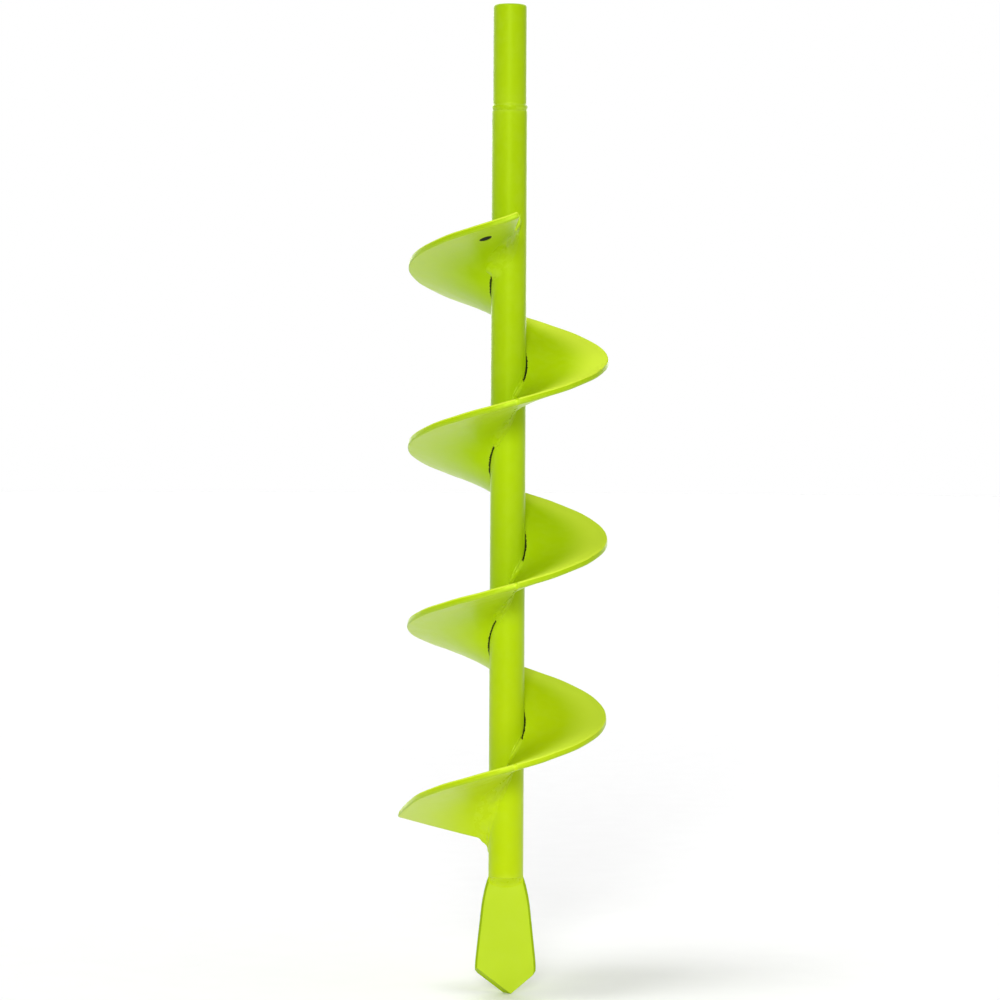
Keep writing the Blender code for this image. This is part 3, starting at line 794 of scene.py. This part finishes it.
def powder_coat(
    name,
    gloss,
    peel,
    low_lime=LOW_LIME,
    shine=0.5,
    paler=0.0,
    rim_highlight=False,
    blotches=0.08,
    edges=0.5,
    rim=0.0,
    root_gap=None,
):
    """Powder coat with drifting colour, orange peel, pale sharp edges, and painted light and shade where the
    arguments ask.

    gloss: its roughness.
    peel: strength of the orange peel.
    low_lime: the colour that it turns to towards the bottom of the auger, painted light from the bright
    floor.
    shine: its specular level.
    paler: how pale the flight's underside grows towards its rim, a painted sheen in place of the bright
    floor's reflection.
    rim_highlight: whether the outer half of the flight's upper faces is drawn brighter, a painted highlight.
    blotches: how pale the small blotches are.
    edges: how pale the sharp edges are, partly from the thin coat there and partly a painted highlight.
    rim: how much deeper the colour is on the rim's lower half, painted shade where the rim faces out and
    down.
    root_gap: which side of the gap at the flight's root this surface is, "plate" or "tube", if any. The gap
    is drawn near black, as painted shade.
    """
    material, n, where = new_material(name)
    drift = n.noise(where, DRIFT_SCALE, 3)
    cloud = n.noise(where, CLOUD_SCALE, 3)
    x, y, height = n.add("ShaderNodeSeparateXYZ", Vector=where).outputs
    # Painted light and shade: paler towards the bottom, where the floor lights the auger, and deeper towards
    # the top.
    colour = n.mix(n.ramp(height, *LOW_HEIGHTS), LIME, low_lime)
    colour = n.mix(n.ramp(height, *TOP_HEIGHTS, 0, 0.3), colour, DEEP_LIME)
    colour = n.mix(n.ramp(drift, 0.3, 0.7, 0, 0.14), colour, DEEP_LIME)
    colour = n.mix(n.ramp(cloud, 0.35, 0.75, 0, blotches), colour, PALE_LIME)
    geometry = n.add("ShaderNodeNewGeometry")
    normal = geometry.outputs["Normal"]
    facing_x, facing_y, facing_up = n.add("ShaderNodeSeparateXYZ", Vector=normal).outputs
    radius = n.measure("LENGTH", n.add("ShaderNodeCombineXYZ", X=x, Y=y).outputs[0])
    # Painted sheen: faces that look down are drawn paler towards the rim, in place of the bright floor's
    # reflection.
    if paler:
        patch = n.math("MULTIPLY", n.ramp(radius, *PALE_RADII), n.ramp(cloud, 0.2, 0.7, 0.7, 1.0))
        patch = n.math("MULTIPLY", patch, n.ramp(facing_up, -0.2, 0.2, paler, 0.0))
        colour = n.mix(patch, colour, PALE_LIME)
    # Painted highlight: the outer half of the upper faces is drawn brighter, as if lit from above.
    if rim_highlight:
        colour = n.mix(n.ramp(radius, *HIGHLIGHT_RADII), colour, HIGHLIGHT_LIME)
    # Sharp edges are drawn paler: a thin coat there, and partly a painted highlight.
    thin_coat_and_highlight = n.ramp(geometry.outputs["Pointiness"], 0.52, 0.6, 0, edges)
    colour = n.mix(thin_coat_and_highlight, colour, PALE_LIME)
    roughness = n.ramp(cloud, 0.3, 0.7, gloss - 0.04, gloss + 0.05)
    # Painted shade: the rim is drawn deeper where it faces outward and down, away from the light.
    if rim:
        across = n.math("ADD", n.math("MULTIPLY", facing_x, x), n.math("MULTIPLY", facing_y, y))
        outward = n.math("DIVIDE", across, radius)
        under = n.math("MULTIPLY", n.ramp(outward, 0.4, 0.8), n.ramp(facing_up, 0.35, -0.25))
        colour = n.mix(n.math("MULTIPLY", under, rim), colour, DEEP_LIME)
    if root_gap:
        # Painted shade: the ragged gap at the flight's root is drawn near black.
        gap_shade = gap_shade_share(n, where, height, radius, root_gap)
        colour = n.mix(gap_shade, colour, GAP_SHADE)
        roughness = n.math("ADD", roughness, n.math("MULTIPLY", gap_shade, 0.3))
    n.put(n.shader.inputs["Base Color"], colour)
    n.put(n.shader.inputs["Roughness"], roughness)
    n.shader.inputs["Specular IOR Level"].default_value = shine
    n.shader.inputs["Specular Tint"].default_value = SHINE_TINT
    waves = n.noise(where, PEEL_SCALE, 2, 0.4)
    flow = n.noise(where, FLOW_SCALE, 2, 0.4)
    relief = n.math("ADD", n.math("MULTIPLY", waves, 0.35), flow)
    bump = n.add("ShaderNodeBump", Strength=peel, Distance=PEEL_DEPTH, Height=relief)
    n.put(n.shader.inputs["Normal"], bump.outputs[0])
    return material


def hole_shade_material(name):
    """Painted shade on the wall of the hanging hole, near black, with the streaks of the punch."""
    material, n, where = new_material(name)
    streaks = n.noise(where, STREAK_SCALE, 3)
    n.put(n.shader.inputs["Base Color"], n.mix(streaks, HOLE_SHADE_DARK, HOLE_SHADE_STREAK))
    n.put(n.shader.inputs["Roughness"], n.ramp(streaks, 0.3, 0.7, 0.5, 0.75))
    bump = n.add("ShaderNodeBump", Strength=0.4, Distance=STREAK_DEPTH, Height=streaks)
    n.put(n.shader.inputs["Normal"], bump.outputs[0])
    return material


# ---------------------------------------------------------------- studio


def build_floor(height):
    bm = bmesh.new()
    bmesh.ops.create_circle(bm, cap_ends=True, segments=ROUND_STEPS, radius=FLOOR_RADIUS)
    mesh = bpy.data.meshes.new("studio_floor")
    bm.to_mesh(mesh)
    bm.free()
    floor = bpy.data.objects.new("studio_floor", mesh)
    floor.location = (0, 0, height)
    bpy.context.scene.collection.objects.link(floor)
    material, n, where = new_material("pale_floor")
    n.put(n.shader.inputs["Base Color"], n.mix(n.noise(where, FLOOR_SCALE, 3), *FLOOR_WHITES))
    n.shader.inputs["Roughness"].default_value = 0.9
    n.shader.inputs["Specular IOR Level"].default_value = 0.0
    mesh.materials.append(material)


def towards(azimuth, elevation):
    """Direction of a light: azimuth in degrees to the right of the viewer, elevation in degrees."""
    a = math.radians(azimuth)
    e = math.radians(elevation)
    return Vector((math.sin(a) * math.cos(e), -math.cos(a) * math.cos(e), math.sin(e)))


def lobe(n, direction, strength):
    """A broad soft patch of light on the studio's walls, as a strength for each direction."""
    where = n.add("ShaderNodeTexCoord").outputs["Generated"]
    facing = n.math("MAXIMUM", n.measure("DOT_PRODUCT", where, direction), 0)
    return n.math("MULTIPLY", n.math("POWER", facing, LOBE_SHARPNESS), strength)


def build_world():
    """White to look at. As a light it is a dim room with a few broad soft patches."""
    world = bpy.data.worlds.new("studio")
    bpy.context.scene.world = world
    world.use_nodes = True
    n = Nodes(world)
    n.tree.nodes.clear()
    total = 0
    for azimuth, elevation, strength in WORLD_LOBES:
        total = n.math("ADD", total, lobe(n, towards(azimuth, elevation), strength))
    lit = n.add("ShaderNodeBackground", Color=WHITE, Strength=total)
    seen = n.add("ShaderNodeBackground", Color=WHITE)
    path = n.add("ShaderNodeLightPath")
    choose = n.tree.nodes.new("ShaderNodeMixShader")
    n.put(choose.inputs[0], path.outputs["Is Camera Ray"])
    n.put(choose.inputs[1], lit.outputs[0])
    n.put(choose.inputs[2], seen.outputs[0])
    n.add("ShaderNodeOutputWorld", Surface=choose.outputs[0])


def build_lights():
    """Two soft suns: one low in front, one high on the left, which shades the floor to the right."""
    for name, azimuth, elevation, size, strength in SUNS:
        light = bpy.data.lights.new(name, "SUN")
        light.angle = math.radians(size)
        light.energy = math.pi * strength
        lamp = bpy.data.objects.new(name, light)
        lamp.rotation_euler = towards(azimuth, elevation).to_track_quat("Z", "Y").to_euler()
        bpy.context.scene.collection.objects.link(lamp)


def build_camera():
    """A long lens from a little above the middle of the auger, tipped by a hair."""
    camera = bpy.data.cameras.new("camera")
    camera.lens = LENS
    camera.sensor_width = SENSOR_WIDTH
    camera.clip_end = 100
    target = Vector((CAMERA_SIDE, 0, CAMERA_AIM))
    back = Vector((0, -math.cos(CAMERA_PITCH), math.sin(CAMERA_PITCH)))
    place = target + back * CAMERA_DISTANCE
    aim = (-back).to_track_quat("-Z", "Y").to_matrix().to_4x4()
    holder = bpy.data.objects.new("camera", camera)
    holder.matrix_world = Matrix.Translation(place) @ aim @ Matrix.Rotation(CAMERA_ROLL, 4, "Z")
    bpy.context.scene.collection.objects.link(holder)
    bpy.context.scene.camera = holder


def plain_box():
    return [list(corner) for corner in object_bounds()]


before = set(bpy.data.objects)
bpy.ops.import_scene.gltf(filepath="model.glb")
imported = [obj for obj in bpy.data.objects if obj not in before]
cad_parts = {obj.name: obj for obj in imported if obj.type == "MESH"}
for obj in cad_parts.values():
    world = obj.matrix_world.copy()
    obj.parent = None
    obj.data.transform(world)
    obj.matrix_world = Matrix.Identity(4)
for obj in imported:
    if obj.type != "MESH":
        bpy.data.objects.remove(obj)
cad_box = plain_box()

SPIGOT_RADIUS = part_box("drive_spigot")[1].x
SPIGOT_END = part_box("drive_spigot")[0].z
TUBE_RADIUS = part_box("shaft_tube")[1].x
TUBE_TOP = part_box("shaft_tube")[1].z
TUBE_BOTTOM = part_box("shaft_tube")[0].z
SPIGOT_FOOT = TUBE_TOP + PART_GAP
TIP_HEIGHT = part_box("spade_point")[0].z

bar_coat = powder_coat("bar_powder_coat", 0.42, 0.25, shine=0.35)
tube_coat = powder_coat("tube_powder_coat", 0.36, 0.25, shine=0.4, root_gap="tube")
plate_looks = {"edges": 0.15, "root_gap": "plate"}
flight_coat = powder_coat("flight_powder_coat", 0.34, 0.3, paler=0.55, rim=0.55, **plate_looks)
# The flight's upper faces: no shine of their own, and a painted highlight towards the rim.
top_coat = powder_coat("top_highlight_powder_coat", 0.5, 0.3, shine=0.0, rim_highlight=True, **plate_looks)
weld_coat = powder_coat("weld_powder_coat", 0.28, 0.45, blotches=0.2)
# The point lies wholly in its low colour, which is painted floor light.
point_coat = powder_coat("point_powder_coat", 0.36, 0.3, low_lime=POINT_LIME, edges=0.1)
# The blade's cut edges: painted shade, with little shine.
shaded_cut_coat = powder_coat("cut_edge_painted_shade_coat", 0.45, 0.3, low_lime=CUT_SHADE_LIME, shine=0.08, edges=0.1)
hole_shade = hole_shade_material("hole_wall_painted_shade")

build_spigot(bar_coat)
build_spigot_weld(weld_coat)
build_tube(tube_coat)
build_flight(flight_coat, top_coat, weld_coat, hole_shade)
build_flight_welds(weld_coat)
build_point(point_coat, shaded_cut_coat)
build_point_welds(weld_coat)

build_floor(cad_box[0][2])
build_world()
build_lights()
build_camera()
bpy.context.scene.view_settings.view_transform = "Standard"
